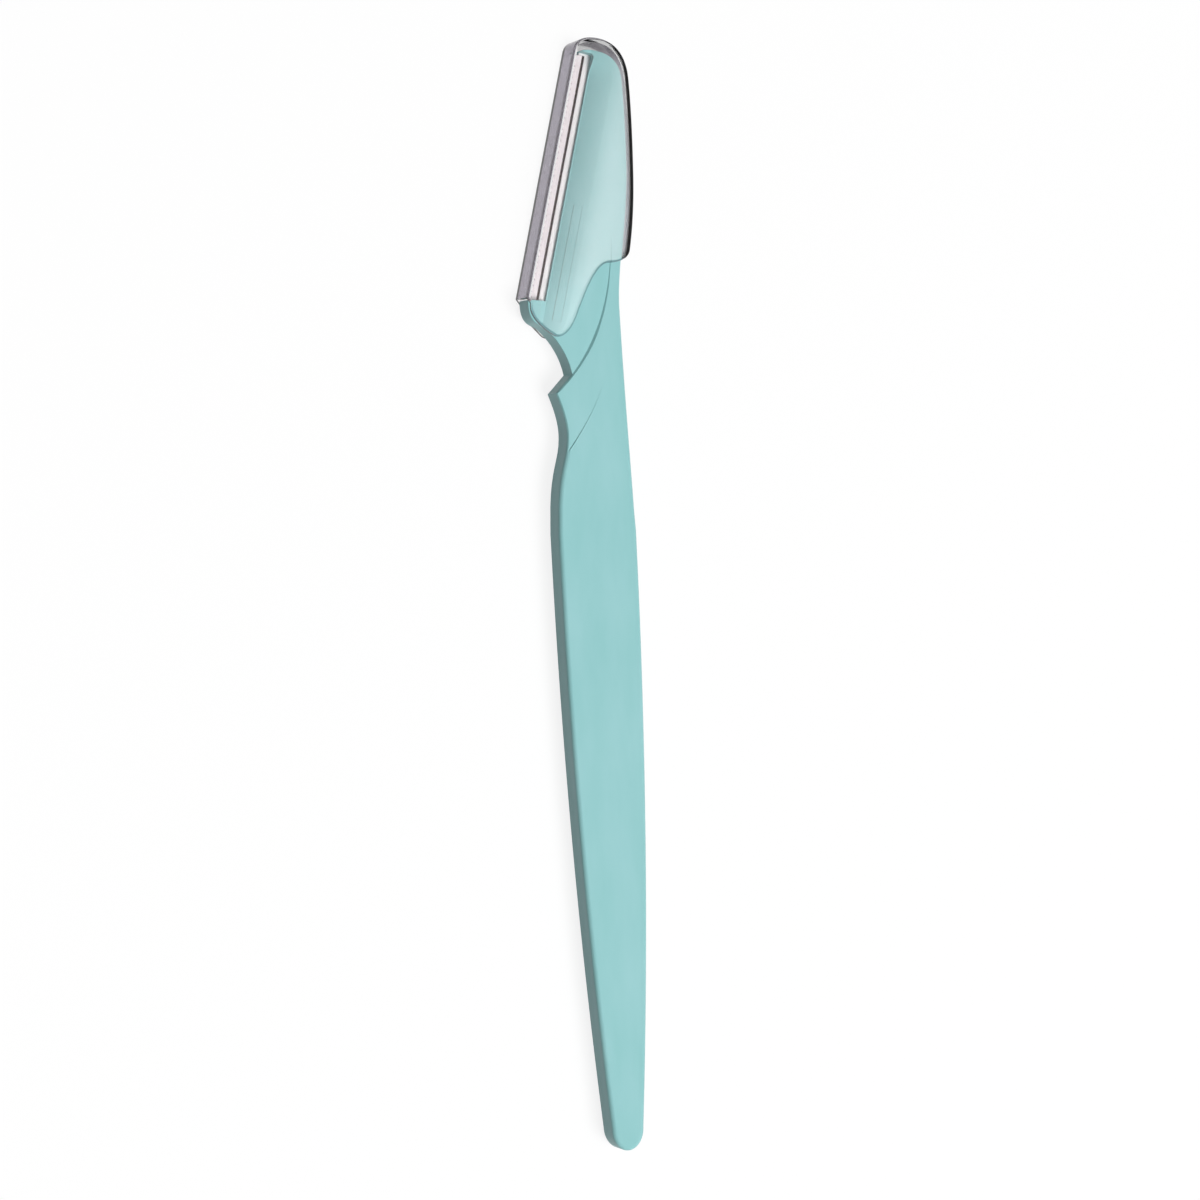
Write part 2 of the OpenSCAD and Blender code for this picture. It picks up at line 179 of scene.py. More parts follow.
def curved(points, steps):
    """A cubic curve over four control points, without its last point."""
    a, b, c, d = points
    return [
        (1 - t) ** 3 * a + 3 * (1 - t) ** 2 * t * b + 3 * (1 - t) * t * t * c + t**3 * d
        for t in (i / steps for i in range(steps))
    ]


BUTT_LENGTH, BUTT_STEPS, GRIP_STEPS, SWELL = 3, 14, 40, 2.1


def grip_half(y):
    """Half the grip's width at that length from the butt's end."""
    return BUTT_HALF + (GRIP_HALF - BUTT_HALF) * (1 - (1 - y / GRIP_LENGTH) ** SWELL)


def grip_side(side):
    """The round butt and the swelling side of the grip."""
    butt = []
    for i in range(BUTT_STEPS):
        t = math.radians(90 * (i + 0.5) / BUTT_STEPS)
        out = side * grip_half(BUTT_LENGTH) * math.sin(t)
        butt.append(Vector((out, BUTT_LENGTH * (1 - math.cos(t)))))
    rows = [BUTT_LENGTH + (GRIP_LENGTH - BUTT_LENGTH) * i / GRIP_STEPS for i in range(GRIP_STEPS)]
    return butt + [Vector((side * grip_half(y), y)) for y in rows]


heel = head_point(0, 0)
heel_curve = [
    heel + Vector((x * HEEL_OUT, y * HEEL_HEIGHT))
    for x, y in ((0.13, -1), (0.01, -0.8), (-0.01, -0.4), (0, 0))
]
lip_end = Vector((LIP_BACK, WINDOW_TOP - EDGE_RADIUS))
lip_curve = [
    head_point(*lip_end),
    head_point(LIP_BACK, HEAD_LENGTH - 0.3),
    *head_points((0.164, 1), (0.262, 1)),
]
neck_spine = neck_points((0.981, 0), (0.944, 0.271), (0.882, 0.576))
spine_side = (
    grip_side(1)
    + curved(neck_spine + head_points((1.055, 0.051)), 30)
    + curved(head_points((1.055, 0.051), (0.949, 0.1875), (0.944, 0.393), (0.828, 0.585)), 18)
    + curved(head_points((0.828, 0.585), (0.754, 0.7), (0.656, 0.834), (0.574, 0.925)), 16)
    + curved(head_points((0.574, 0.925), (0.516, 0.979), (0.41, 1), (0.262, 1)), 14)
)
scallop_top = neck_points((-0.455, 0.655), (-0.54, 0.753), (-0.885, 0.854))
blade_side = (
    grip_side(-1)
    + curved(neck_points((-0.981, 0), (-0.944, 0.22), (-0.694, 0.264), (-0.667, 0.359)), 10)
    + curved(neck_points((-0.667, 0.359), (-0.628, 0.434), (-0.779, 0.515), (-0.89, 0.571)), 10)
    + neck_points((-0.89, 0.571))
    + curved(scallop_top + [heel_curve[0]], 16)
    + curved(heel_curve, 10)
    + [heel]
    + curved(lip_curve, 10)
)


def mode(name):
    """Goes into edit mode or back to object mode."""
    bpy.ops.object.mode_set(mode=name)


def thicken(height):
    """Extrudes the active flat shape upwards and turns its faces outwards."""
    mode("EDIT")
    bpy.ops.mesh.select_all(action="SELECT")
    bpy.ops.mesh.extrude_region_move(TRANSFORM_OT_translate={"value": (0, 0, height)})
    bpy.ops.mesh.select_all(action="SELECT")
    bpy.ops.mesh.normals_make_consistent(inside=False)
    mode("OBJECT")


def plate(name, outline, low, high):
    """A flat plate: a circle whose points are placed along the outline, extruded upwards."""
    bpy.ops.mesh.primitive_circle_add(vertices=len(outline), fill_type="NGON")
    piece = bpy.context.object
    piece.name = name
    for corner, point in zip(piece.data.vertices, outline):
        corner.co = (point[0], point[1], low)
    thicken(high - low)
    return piece


def round_rims(piece, radius, segments):
    """Rounds the upper and the lower rim of a plate."""
    mode("EDIT")
    bpy.ops.mesh.select_mode(type="EDGE")
    bpy.ops.mesh.select_all(action="DESELECT")
    mode("OBJECT")
    corners = piece.data.vertices
    for edge in piece.data.edges:
        a, b = (corners[i].co.z for i in edge.vertices)
        edge.select = abs(a - b) < 1e-6
    mode("EDIT")
    bpy.ops.mesh.bevel(offset=radius, segments=segments, affect="EDGES", clamp_overlap=False)
    bpy.ops.mesh.select_mode(type="VERT")
    mode("OBJECT")


def carve(piece, tool, way="DIFFERENCE"):
    """Takes the tool's shape out of the piece, or adds it with UNION."""
    bpy.context.view_layer.objects.active = piece
    change = piece.modifiers.new("carve", "BOOLEAN")
    change.operation = way
    change.solver = "EXACT"
    change.object = tool
    bpy.ops.object.modifier_apply(modifier=change.name)
    bpy.data.objects.remove(tool)


def pick(piece):
    """Selects this piece alone and makes it the active one."""
    bpy.ops.object.select_all(action="DESELECT")
    piece.select_set(True)
    bpy.context.view_layer.objects.active = piece


def finish_shape(piece, place, turn=0.0, smooth=30):
    """Lays the piece in its place in metres, and shades its round stretches smooth."""
    pick(piece)
    piece.rotation_euler = (0, 0, turn)
    piece.scale = (MM, MM, MM)
    piece.location = place
    bpy.ops.object.transform_apply(location=True, rotation=True, scale=True)
    bpy.ops.object.shade_smooth_by_angle(angle=math.radians(smooth))
    even = piece.modifiers.new("even_faces", "WEIGHTED_NORMAL")
    even.keep_sharp = True
    even.weight = 100
    bpy.ops.object.modifier_apply(modifier=even.name)


handle = plate("handle_moulding", spine_side + blade_side[::-1], -GRIP_THICK / 2, GRIP_THICK / 2)
round_rims(handle, EDGE_RADIUS, 6)

# The upper petal drops both faces to the head's thickness along a crisp curved step, whose wall
# leans a little so that it shows as a line.
STEP_OVER, STEP_SLANT = 0.05, Vector((0.33, -0.23, 0))
PETAL_RUN_OUT = 6
UPPER_RIGHT, UPPER_LEFT, UPPER_TOP = 16, -30, 180
petal_end = head_points((0.778, 0.335))[0]
upper_bow = neck_points((-0.89, 0.571), (-0.054, 0.712), (0.69, 0.932))
upper_petal = [*curved([*upper_bow, petal_end], 40), petal_end]
start = upper_petal[0] - (upper_petal[1] - upper_petal[0]).normalized() * PETAL_RUN_OUT
upper_tool = [
    start, *upper_petal, (UPPER_RIGHT, petal_end.y), (UPPER_RIGHT, UPPER_TOP),
    (UPPER_LEFT, UPPER_TOP), (UPPER_LEFT, start.y),
]

# The lower petal is a shallow slanted face that fades out towards the spine.
LOWER_DROP = 0.16
LOWER_RIGHT, LOWER_LEFT, LOWER_TOP = 2.7, -20, 120
lower_bow = neck_points((-0.699, 0.292), (-0.23, 0.407), (0.354, 0.559), (0.46, 0.725))
lower_petal = curved(lower_bow, 40)
fade = lower_petal[32]
petal_slant = math.atan(LOWER_DROP / (fade.x - lower_petal[0].x))
start = lower_petal[0] - (lower_petal[1] - lower_petal[0]).normalized() * PETAL_RUN_OUT
lower_tool = [
    start, *lower_petal, (LOWER_RIGHT, LOWER_TOP), (LOWER_LEFT, LOWER_TOP), (LOWER_LEFT, start.y),
]

# A slanted ramp leads both faces from the grip down to the head.
RAMP_SHARE, RAMP_HALF = 0.745, 16
ramp_foot = GRIP_LENGTH + RAMP_SHARE * NECK_LENGTH
ramp_rise = petal_end.y - ramp_foot
ramp_slant = math.atan((GRIP_THICK - HEAD_THICK) / 2 / ramp_rise)
ramp_tool = [(-RAMP_HALF, 0), (RAMP_HALF, 0), (RAMP_HALF, ramp_rise), (-RAMP_HALF, ramp_rise)]

# The hollow bevel beside the blade is cut by a bowed sheet. u runs across it from the window's
# edge and v along the window, and it fades out behind the edge and past both ends.
HOLLOW_WIDTH, HOLLOW_DEPTH, HOLLOW_LIFT, HOLLOW_TALL = 5, 0.9, 0.11, 3
HOLLOW_SPAN, HOLLOW_SHIFT, HOLLOW_BACK = 1.76, 0.18, 0.25
HOLLOW_REACH, HOLLOW_ENDS, HOLLOW_TIP = 1.3, 0.2, 2.5


def hollow_height(u, v):
    """The height of that sheet: lowest along the window's edge, over the face where it fades."""
    s = min(1, max(0, min(v + HOLLOW_ENDS, HOLLOW_TIP * (1 - v)) / HOLLOW_ENDS))
    across = (1 - min(1, max(0, u))) ** 2 * max(0, 1 + min(0, u) / HOLLOW_BACK) ** 2
    fall = (HOLLOW_DEPTH + HOLLOW_LIFT) * across * s * s * (3 - 2 * s)
    return HEAD_THICK / 2 + HOLLOW_LIFT - fall


for side in (1, -1):
    over = side * (GRIP_THICK / 2 + STEP_OVER)
    step = plate("upper_petal_tool", upper_tool, side * HEAD_THICK / 2, over)
    for corner in step.data.vertices:
        if abs(corner.co.z) > GRIP_THICK / 2:
            corner.co += STEP_SLANT
    carve(handle, step)

    slanted = plate("lower_petal_tool", lower_tool, 0, side * GRIP_THICK)
    for corner in slanted.data.vertices:
        corner.co.z += side * (GRIP_THICK / 2 + (corner.co.x - fade.x) * math.tan(petal_slant))
    carve(handle, slanted)

    ramp = plate("ramp_tool", ramp_tool, 0, side * GRIP_THICK)
    for corner in ramp.data.vertices:
        corner.co.z += side * (GRIP_THICK / 2 - corner.co.y * math.tan(ramp_slant))
        corner.co.y += ramp_foot
    carve(handle, ramp)

    bpy.ops.mesh.primitive_grid_add(x_subdivisions=29, y_subdivisions=70, size=1)
    hollow = bpy.context.object
    for corner in hollow.data.vertices:
        u = corner.co.x * HOLLOW_SPAN + HOLLOW_SHIFT
        v = (corner.co.y + 0.5) * HOLLOW_REACH - HOLLOW_ENDS
        place = head_point(WINDOW_WIDTH + u * HOLLOW_WIDTH, v * WINDOW_TOP)
        corner.co = (place.x, place.y, side * hollow_height(u, v))
    thicken(side * HOLLOW_TALL)
    carve(handle, hollow)

# The window leaves the blade's front free, and the pocket behind it holds the three strips. The
# pocket's far corner is cut off, so that it stays inside the round tip.
corner_turns = [math.radians(90 * i / 8) for i in range(9)]
window_corner = [
    (
        WINDOW_WIDTH - WINDOW_RADIUS * (1 - math.cos(t)),
        WINDOW_TOP - WINDOW_RADIUS * (1 - math.sin(t)),
    )
    for t in corner_turns
]
WINDOW_OUT, WINDOW_RISE, WINDOW_TALL = -12, 0.45, 6
window = [
    (WINDOW_OUT, -1), (-0.02, 0), (WINDOW_WIDTH, WINDOW_RISE), *window_corner,
    (WINDOW_OUT, WINDOW_TOP),
]
carve(handle, plate("window_tool", [head_point(*p) for p in window], -WINDOW_TALL, WINDOW_TALL))
METAL_LEFT, METAL_RIGHT, METAL_FOOT, METAL_HALF = 0.69, 6.44, -0.82, 0.415
CORNER_ACROSS, CORNER_ALONG = 2.1, 2.4
pocket = [
    (METAL_LEFT, METAL_FOOT), (METAL_RIGHT, METAL_FOOT), (METAL_RIGHT, WINDOW_TOP - CORNER_ALONG),
    (METAL_RIGHT - CORNER_ACROSS, WINDOW_TOP), (METAL_LEFT, WINDOW_TOP),
]
carve(handle, plate("pocket_tool", [head_point(*p) for p in pocket], -METAL_HALF, METAL_HALF))
finish_shape(handle, BUTT_PLACE * MM)


def new_finish(name, rough, metal=0.0):
    """A material with its nodes, its links and its shader."""
    finish = bpy.data.materials.new(name)
    finish.use_nodes = True
    nodes = finish.node_tree.nodes
    shader = nodes["Principled BSDF"]
    shader.inputs["Roughness"].default_value = rough
    shader.inputs["Metallic"].default_value = metal
    return finish, nodes, finish.node_tree.links, shader


def grain(nodes, links, scale, detail, turn=0.0):
    """Noise that lies still on the razor, stretched along or across it as the scale says."""
    place = nodes.new("ShaderNodeTexCoord")
    laid = nodes.new("ShaderNodeMapping")
    laid.inputs["Rotation"].default_value = (0, 0, turn)
    laid.inputs["Scale"].default_value = scale
    noise = nodes.new("ShaderNodeTexNoise")
    noise.inputs["Scale"].default_value = 1
    noise.inputs["Detail"].default_value = detail
    links.new(place.outputs["Object"], laid.inputs["Vector"])
    links.new(laid.outputs["Vector"], noise.inputs["Vector"])
    return noise.outputs["Fac"]


NOISE_LOW, NOISE_HIGH = 0.3, 0.7


def between(nodes, links, value, low, high, start=NOISE_LOW, end=NOISE_HIGH, way="LINEAR"):
    """The noise, or another value, brought between two values."""
    span = nodes.new("ShaderNodeMapRange")
    span.interpolation_type = way
    for socket, number in zip(span.inputs, (value, start, end, low, high)):
        feed(links, socket, number)
    return span.outputs["Result"]


def tone(nodes, links, value, dark, light, start=NOISE_LOW, end=NOISE_HIGH):
    """A colour that drifts between two tones, as the noise or another value does."""
    ramp = nodes.new("ShaderNodeValToRGB")
    ends = ((start, dark), (end, light))
    for stop, (place, colour) in zip(ramp.color_ramp.elements, ends):
        stop.position = place
        stop.color = (*colour, 1)
    links.new(value, ramp.inputs["Fac"])
    return ramp.outputs["Color"]


def relief(nodes, links, value, strength, height, under=None):
    """A fine relief from the noise, over another relief where there is one."""
    bump = nodes.new("ShaderNodeBump")
    bump.inputs["Strength"].default_value = strength
    bump.inputs["Distance"].default_value = height
    links.new(value, bump.inputs["Height"])
    if under:
        links.new(under, bump.inputs["Normal"])
    return bump.outputs["Normal"]


def give_finish(finish, *pieces):
    """Gives the finish to each piece, in place of any other."""
    for piece in pieces:
        piece.data.materials.clear()
        piece.data.materials.append(finish)


# Satin teal plastic: the colour drifts a little with the flow, over the fine texture of the mould.
TEAL_DEEP, TEAL_PALE = (0.284, 0.576, 0.580), (0.326, 0.610, 0.622)
DRIFT, FLOW, MOULD_TEXTURE = (260, 70, 260), (700, 45, 700), (5200, 5200, 5200)
teal, nodes, links, shader = new_finish("teal_plastic", 0.4)
shader.inputs["Specular IOR Level"].default_value = 0.3
teal_tone = tone(nodes, links, grain(nodes, links, DRIFT, 3), TEAL_DEEP, TEAL_PALE)
links.new(teal_tone, shader.inputs["Base Color"])
satin = grain(nodes, links, MOULD_TEXTURE, 2)
links.new(between(nodes, links, satin, 0.36, 0.46), shader.inputs["Roughness"])
waves = relief(nodes, links, grain(nodes, links, FLOW, 2), 0.1, 0.00004)
links.new(relief(nodes, links, satin, 0.12, 0.00002, waves), shader.inputs["Normal"])
give_finish(teal, node["handle"], handle)
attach(handle, "razor")
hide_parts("handle")

# --- Blade ------------------------------------------------------------------------------------
# A thin stainless strip with a ground cutting edge, moulded into the head by its foot and its
# back. It is dark against the foil, with fine grinding marks across the edge.
GROUND_TO, GRINDING = 1.55, (400, 9000, 400)
FLAT_DARK, FLAT_PALE = (0.06, 0.032, 0.032), (0.10, 0.062, 0.062)
GROUND_DARK, GROUND_PALE = (0.74, 0.70, 0.71), (0.92, 0.88, 0.89)


def from_heel(nodes, links):
    """Places in mm in the head's own frame: X across the blade, Y along it from the heel."""
    place = nodes.new("ShaderNodeTexCoord")
    moved = nodes.new("ShaderNodeMapping")
    moved.inputs["Location"].default_value = (-MM * heel_place.x, -MM * heel_place.y, 0)
    laid = nodes.new("ShaderNodeMapping")
    laid.inputs["Rotation"].default_value = (0, 0, HEAD_LEAN)
    laid.inputs["Scale"].default_value = (1 / MM, 1 / MM, 1 / MM)
    sides = nodes.new("ShaderNodeSeparateXYZ")
    links.new(place.outputs["Object"], moved.inputs["Vector"])
    links.new(moved.outputs["Vector"], laid.inputs["Vector"])
    links.new(laid.outputs["Vector"], sides.inputs["Vector"])
    return sides


heel_place = BUTT_PLACE + Vector((*heel, 0))
CLIP_AT, CLIP_ALONG = (METAL_RIGHT, WINDOW_TOP - 1.2), Vector((1.2, 1.04))


def clipped_strip(name, title):
    """The steel strip with its far corner clipped, so that it stays inside the head's round tip."""
    strip = bpy.data.objects.new(title, node[name].data.copy())
    bpy.context.collection.objects.link(strip)
    pick(strip)
    turn = Matrix.Rotation(-HEAD_LEAN, 2)
    place = Vector((*(turn @ Vector(CLIP_AT)), 0)) + heel_place
    mode("EDIT")
    bpy.ops.mesh.select_all(action="SELECT")
    bpy.ops.mesh.remove_doubles(threshold=0.001 * MM)
    bpy.ops.mesh.bisect(
        plane_co=place * MM, plane_no=(*(turn @ CLIP_ALONG.normalized()), 0), use_fill=True,
        clear_outer=True,
    )
    mode("OBJECT")
    return strip


def mixed(nodes, links, share, first, second, way="MIX"):
    """A colour mixed from two others."""
    mix = nodes.new("ShaderNodeMix")
    mix.data_type = "RGBA"
    mix.blend_type = way
    for name, value in (("Factor", share), ("A", first), ("B", second)):
        feed(links, mix.inputs[name], value)
    return mix.outputs["Result"]


blade = clipped_strip("blade", "blade_strip")
steel, nodes, links, shader = new_finish("blade_steel", 0.3, 1.0)
marks = grain(nodes, links, GRINDING, 2, HEAD_LEAN)
flat_tone = tone(nodes, links, marks, FLAT_DARK, FLAT_PALE)
ground_tone = tone(nodes, links, marks, GROUND_DARK, GROUND_PALE)
across = from_heel(nodes, links).outputs["X"]
ground = worked_out(nodes, links, "LESS_THAN", across, GROUND_TO)
links.new(mixed(nodes, links, ground, flat_tone, ground_tone), shader.inputs["Base Color"])
links.new(between(nodes, links, marks, 0.24, 0.38), shader.inputs["Roughness"])
links.new(relief(nodes, links, marks, 0.15, 0.000004), shader.inputs["Normal"])
give_finish(steel, node["blade"], blade)
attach(blade, "razor")
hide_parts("blade")

# --- Edge guard -------------------------------------------------------------------------------
# A steel foil folded round the cutting edge and slotted like a comb. Its near-white, mostly diffuse
# colour is bright steel with the highlight it shows painted in. It is rolled lengthwise, which
# leaves faint lines along it.
GUARD_LEFT, GUARD_RIGHT, GUARD_FOOT, GUARD_TOP = 0.71, 1.6, -0.8, 34.26
GUARD_HALF, GUARD_CORNER, FOIL_THICK = 0.265, 0.45, 0.12
SLOT_FIRST, SLOT_COUNT, SLOT_DEPTH, SLOT_WIDTH, SLOT_PITCH = 0.6, 41, 0.22, 0.12, 0.8
FOIL_DARK, FOIL_PALE, ROLLING = (0.95, 0.855, 0.885), (1.0, 0.905, 0.93), (9000, 160, 9000)
comb = [(GUARD_RIGHT, GUARD_FOOT), (GUARD_RIGHT, GUARD_TOP)]
for t in corner_turns:
    comb.append((
        GUARD_LEFT + GUARD_CORNER * (1 - math.sin(t)), GUARD_TOP - GUARD_CORNER * (1 - math.cos(t))
    ))
slot_end = GUARD_LEFT + SLOT_DEPTH
for i in reversed(range(SLOT_COUNT)):
    low = SLOT_FIRST + i * SLOT_PITCH
    high = low + SLOT_WIDTH
    comb += [(GUARD_LEFT, high), (slot_end, high), (slot_end, low), (GUARD_LEFT, low)]
comb.append((GUARD_LEFT, GUARD_FOOT))
guard = plate("edge_guard_foil", comb, -GUARD_HALF, GUARD_HALF)
fold = [
    (GUARD_LEFT + FOIL_THICK, GUARD_FOOT - 1), (GUARD_RIGHT + 1, GUARD_FOOT - 1),
    (GUARD_RIGHT + 1, GUARD_TOP + 1), (GUARD_LEFT + FOIL_THICK, GUARD_TOP + 1),
]
inner = GUARD_HALF - FOIL_THICK
carve(guard, plate("fold_tool", fold, -inner, inner))
finish_shape(guard, heel_place * MM, -HEAD_LEAN)
# The foil's near-white colour is partly a painted highlight
foil, nodes, links, shader = new_finish("guard_foil", 0.36, 0.2)
rolled = grain(nodes, links, ROLLING, 3, HEAD_LEAN)
links.new(tone(nodes, links, rolled, FOIL_DARK, FOIL_PALE), shader.inputs["Base Color"])
links.new(between(nodes, links, rolled, 0.34, 0.46), shader.inputs["Roughness"])
links.new(relief(nodes, links, rolled, 0.15, 0.000004), shader.inputs["Normal"])
give_finish(foil, node["edge_guard"], guard)
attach(guard, "razor")
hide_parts("edge_guard")

# --- Blade carrier ----------------------------------------------------------------------------
# A steel strip folded over the back of the blade, with a small hook round its tip. Only its front
# shows in the window, brushed along its length; its near-white, mostly diffuse colour is bright
# steel with the highlight it shows painted in.
STRIP_DARK, STRIP_PALE, BRUSHING = (0.97, 0.92, 0.92), (1.0, 0.955, 0.955), (6500, 110, 6500)
carrier = clipped_strip("blade_carrier", "carrier_strip")
# The strip's near-white colour is partly a painted highlight
strip, nodes, links, shader = new_finish("carrier_steel", 0.36, 0.2)
brushed = grain(nodes, links, BRUSHING, 3, HEAD_LEAN)
links.new(tone(nodes, links, brushed, STRIP_DARK, STRIP_PALE), shader.inputs["Base Color"])
links.new(between(nodes, links, brushed, 0.34, 0.48), shader.inputs["Roughness"])
links.new(relief(nodes, links, brushed, 0.2, 0.000005), shader.inputs["Normal"])
give_finish(strip, node["blade_carrier"], carrier)
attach(carrier, "razor")
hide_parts("blade_carrier")

# --- Cap --------------------------------------------------------------------------------------
# A clear push-on cap, moulded as one thin shell round the head. Its rim sweeps up in an S from the
# skirt over the heel to the spine side, and two low ribs inside keep it steady on the head.
CAP_HALF, CAP_WALL, CAP_CEILING, CAP_ROUND = 2.65, 0.6, 1.95, 0.35
CAP_LEFT, CAP_TOP, CAP_GROW = -0.38, 36.8, 0.83
SKIRT, RIM_RISE, WALL_FOOT, TONGUE_IN = 3.95, 9.8, 0.23, 0.35


def cap_points(*shares, length=HEAD_LENGTH, grow=0.0):
    """Points of the cap in the head's frame, as shares of the head's width and a length."""
    return [Vector((x * HEAD_WIDTH + grow, y * length)) for x, y in shares]


spine = cap_points((0.828, 0.585), (0.754, 0.7), (0.656, 0.834), (0.574, 0.925), grow=CAP_GROW)
rim_foot = cap_points((0.36, -1), (0.454, -1.063), (0.545, -0.7), (0.575, 0.08), length=SKIRT)
sweep = cap_points((0.612, 0.265), (0.669, 0.735), (0.822, 0.765), length=RIM_RISE)
rim_sweep = [rim_foot[3], *sweep]
rim_end = cap_points((0.822, 0.765), (0.924, 0.796), (1.03, 0.878), (1.03, 1), length=RIM_RISE)
cap_side = [rim_end[3], *cap_points((1.014, 0.379), (0.956, 0.495)), spine[0]]
shoulder = [
    spine[3], spine[3] + 0.8 * (spine[3] - spine[2]),
    Vector((0.44 * HEAD_WIDTH, CAP_TOP)), Vector((0.245 * HEAD_WIDTH, CAP_TOP)),
]
top_corner = [
    shoulder[3], Vector((0.1 * HEAD_WIDTH, CAP_TOP)),
    Vector((CAP_LEFT, CAP_TOP - CAP_WALL)), Vector((CAP_LEFT, HEAD_LENGTH - CAP_WALL)),
]
foot_corner = [
    Vector((TONGUE_IN, -0.415)), Vector((TONGUE_IN, -0.5 * SKIRT)),
    Vector((0.175 * HEAD_WIDTH, -0.823 * SKIRT)), rim_foot[0],
]
cap_rim = curved(rim_foot, 14) + curved(rim_sweep, 18) + curved(rim_end, 12)
cap_wall = curved(cap_side, 14) + curved(spine, 12) + curved(shoulder, 16) + curved(top_corner, 18)
wall_end = [top_corner[3], Vector((CAP_LEFT, WALL_FOOT))]
cap_outline = cap_rim + cap_wall + wall_end + curved(foot_corner, 16)


def drawn_in(outline, depth):
    """The outline moved inwards by that depth, point by point."""
    moved = []
    for i, point in enumerate(outline):
        along = (outline[(i + 1) % len(outline)] - outline[i - 1]).normalized()
        moved.append(point + depth * Vector((-along.y, along.x)))
    return moved


cap = plate("clear_cap", cap_outline, -CAP_HALF, CAP_HALF)
round_rims(cap, CAP_ROUND, 6)
inside = drawn_in(cap_outline, CAP_WALL)[len(cap_rim):len(cap_rim) + len(cap_wall) + 1]
CAVITY_OUT = -12
cavity = [
    (inside[0].x, CAVITY_OUT), *inside, (CAP_LEFT + CAP_WALL, WALL_FOOT), (CAVITY_OUT, WALL_FOOT),
    (CAVITY_OUT, CAVITY_OUT),
]
carve(cap, plate("cavity_tool", cavity, -CAP_CEILING, CAP_CEILING))
RIB_LEFT, RIB_WIDTH, RIB_HEIGHT, RIB_TOP, RIB_ROOT = 3.8, 1.25, 0.14, 14, 0.2
rib = [
    (RIB_LEFT, -SKIRT / 2), (RIB_LEFT + RIB_WIDTH, -SKIRT / 2),
    (RIB_LEFT + RIB_WIDTH, RIB_TOP), (RIB_LEFT, RIB_TOP),
]
for side in (1, -1):
    crest, root = side * (CAP_CEILING - RIB_HEIGHT), side * (CAP_CEILING + RIB_ROOT)
    carve(cap, plate("rib", rib, crest, root), "UNION")

# Below the heel the back face is cut shorter, so that it stays hidden behind the handle.
TRIM_OUT, TRIM_LOW, TRIM_IN = -9, -4, 0.3
tongue = [
    Vector((TONGUE_IN + 0.3, -0.415)), foot_corner[1] + Vector((0.4, 0)),
    foot_corner[2] + Vector((0.8, 0.45)), foot_corner[3],
]
trimmed = [
    *curved(tongue, 16), rim_foot[0], (rim_foot[0].x, TRIM_OUT), (TRIM_OUT, TRIM_OUT),
    (TRIM_OUT, -0.3),
]
carve(cap, plate("heel_trim", trimmed, TRIM_LOW, -CAP_CEILING + TRIM_IN))

# Both faces are slightly crowned across, so that light runs along them.
CAP_CROWN, CAP_SPAN, CROWN_SLICES = 0.1, 12.9, 20
mode("EDIT")
for i in range(1, CROWN_SLICES):
    slice_at = CAP_LEFT + CAP_SPAN * i / CROWN_SLICES
    bpy.ops.mesh.select_all(action="SELECT")
    bpy.ops.mesh.bisect(plane_co=(slice_at, 0, 0), plane_no=(1, 0, 0))
mode("OBJECT")
for corner in cap.data.vertices:
    bow = (corner.co.x - (CAP_LEFT + CAP_SPAN / 2)) / (CAP_SPAN / 2)
    corner.co.z *= 1 - CAP_CROWN * bow * bow
finish_shape(cap, heel_place * MM, -HEAD_LEAN, 35)

# Polished clear plastic, with faint marks of handling. A steep wall is painted smoky grey as
# painted shade, and a face is clear.
PAINTED_WALL_SHADE, CLEAR, WALL_SHADE_ENDS = (0.47, 0.44, 0.50), (1, 1, 1), (0.8, 0.985)
HANDLING = (420, 420, 420)
clear, nodes, links, shader = new_finish("clear_plastic", 0.05)
shader.inputs["IOR"].default_value = 1.49
shader.inputs["Transmission Weight"].default_value = 1
shader.inputs["Coat Roughness"].default_value = 0.23
slope = nodes.new("ShaderNodeSeparateXYZ")
links.new(nodes.new("ShaderNodeNewGeometry").outputs["Normal"], slope.inputs[0])
flat = worked_out(nodes, links, "ABSOLUTE", slope.outputs["Z"])
wall_shade_tone = tone(nodes, links, flat, PAINTED_WALL_SHADE, CLEAR, *WALL_SHADE_ENDS)

# How far each place lies inside the spine's edge, from the cap's own outline
SPINE_SPAN, SPINE_END = 40, 0.1
sides = from_heel(nodes, links)
across, along = sides.outputs["X"], sides.outputs["Y"]
edge_curve = nodes.new("ShaderNodeFloatCurve")
line = edge_curve.mapping.curves[0]
line.points[0].location = (0, cap_side[0].x / SPINE_SPAN)
line.points[1].location = (1, SPINE_END)
for point in cap_wall[:40:4]:
    line.points.new(point.y / SPINE_SPAN, point.x / SPINE_SPAN)
edge_curve.mapping.update()
links.new(worked_out(nodes, links, "DIVIDE", along, SPINE_SPAN), edge_curve.inputs["Value"])
edge_at = worked_out(nodes, links, "MULTIPLY", edge_curve.outputs["Value"], SPINE_SPAN)
inward = worked_out(nodes, links, "SUBTRACT", edge_at, across)


def ramp_over(value, start, end, low, high):
    """A value that goes smoothly from low to high while the other goes from start to end."""
    return between(nodes, links, value, low, high, start, end, "SMOOTHSTEP")


# The rim on the spine side is painted nearly black as painted shade, and made matt; the wall under
# it is as clear as the rest.
steep = ramp_over(flat, 0.05, 0.3, 0, 1)
rim_painted_dark = ramp_over(inward, 0.5, 0.85, steep, 0)
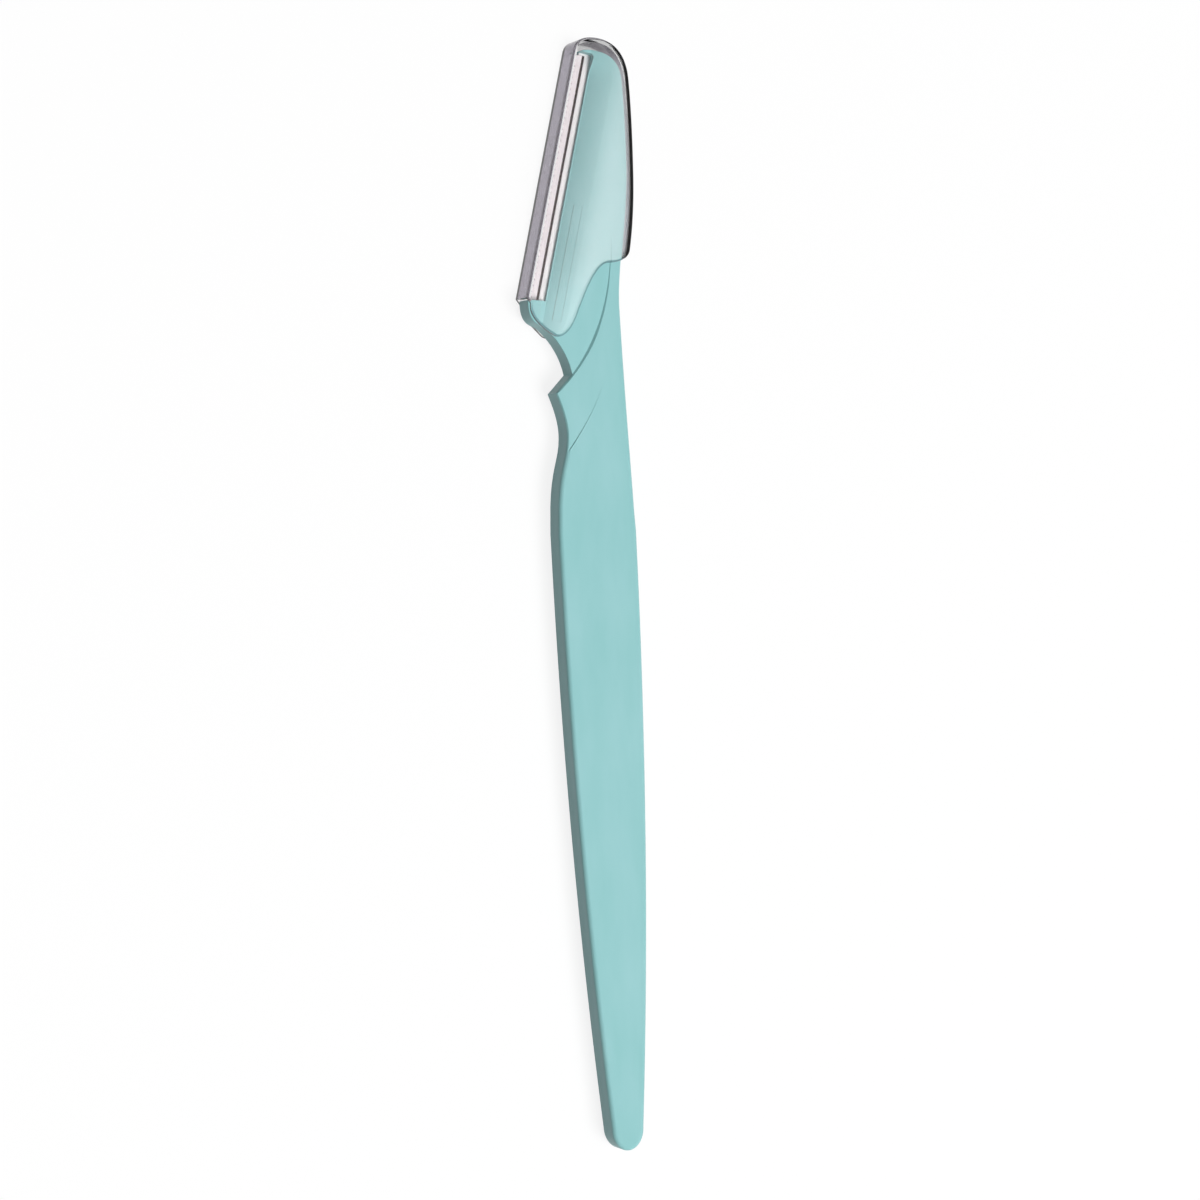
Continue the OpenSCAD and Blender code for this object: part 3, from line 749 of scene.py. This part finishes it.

# How clear each place is, with painted shade: fully over the strips, a little less over the head,
# least at the tip, and the spine rim painted nearly black
HEEL_SHADE_TONE, HEAD_SHADE_TONE, TIP_SHADE_TONE, RIM_SHADE_TONE = 0.97, 0.84, 0.6, 0.005
shade_tone = ramp_over(along, -2, 9, HEEL_SHADE_TONE, HEAD_SHADE_TONE)
shade_tone = ramp_over(across, WINDOW_WIDTH - 0.9, WINDOW_WIDTH - 0.4, 1, shade_tone)
shade_tone = ramp_over(along, HEAD_LENGTH + 0.3, HEAD_LENGTH - 0.3, TIP_SHADE_TONE, shade_tone)
shade_tone = ramp_over(rim_painted_dark, 0, 1, shade_tone, RIM_SHADE_TONE)

# How often the painted wall shade counts, as the power of its gamma: on the blade side all of it
# lies on the wall's outside
WALL_SHADE_POWER, EDGE_SHADE_POWER, TIP_SHADE_POWER = 3, 1.6, 1.8
shade_power = ramp_over(across, CAP_LEFT + 0.75, CAP_LEFT + 1.1, 0, 1)
shade_power = ramp_over(across, CAP_LEFT + 0.36, CAP_LEFT + 0.46, EDGE_SHADE_POWER, shade_power)
shade_power = ramp_over(across, CAP_LEFT + 0.02, CAP_LEFT + 0.14, WALL_SHADE_POWER, shade_power)
shade_power = ramp_over(along, HEAD_LENGTH - 1.6, HEAD_LENGTH - 0.4, shade_power, TIP_SHADE_POWER)
shaded_walls = nodes.new("ShaderNodeGamma")
links.new(wall_shade_tone, shaded_walls.inputs["Color"])
links.new(shade_power, shaded_walls.inputs["Gamma"])
# The cap's colour is the painted wall shade, darkened further by the painted shade of each place
cap_tone_with_shade = mixed(nodes, links, 1, shaded_walls.outputs["Color"], shade_tone, "MULTIPLY")
links.new(cap_tone_with_shade, shader.inputs["Base Color"])

# The faces have a gloss of their own towards the spine, and marks dull the polish here and there
GLOSS_FROM, GLOSS_TO, RIM_ROUGH = 4.2, 8, 0.6
gloss = ramp_over(across, GLOSS_FROM, GLOSS_TO, 0, 1)
links.new(ramp_over(rim_painted_dark, 0, 1, gloss, 0), shader.inputs["Coat Weight"])
marks = grain(nodes, links, HANDLING, 4, HEAD_LEAN)
polish = between(nodes, links, marks, 0.03, 0.09)
links.new(ramp_over(rim_painted_dark, 0, 1, polish, RIM_ROUGH), shader.inputs["Roughness"])
links.new(relief(nodes, links, marks, 0.05, 0.00002), shader.inputs["Normal"])

# Clear plastic throws hardly any shadow, so the light reaches the head under it
through = nodes.new("ShaderNodeBsdfTransparent").outputs[0]
shadow_ray = nodes.new("ShaderNodeLightPath").outputs["Is Shadow Ray"]
lit = blended(nodes, links, shadow_ray, shader.outputs[0], through)
links.new(lit, nodes["Material Output"].inputs["Surface"])
give_finish(clear, node["cap"], cap)
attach(cap, "cap")
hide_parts("cap")
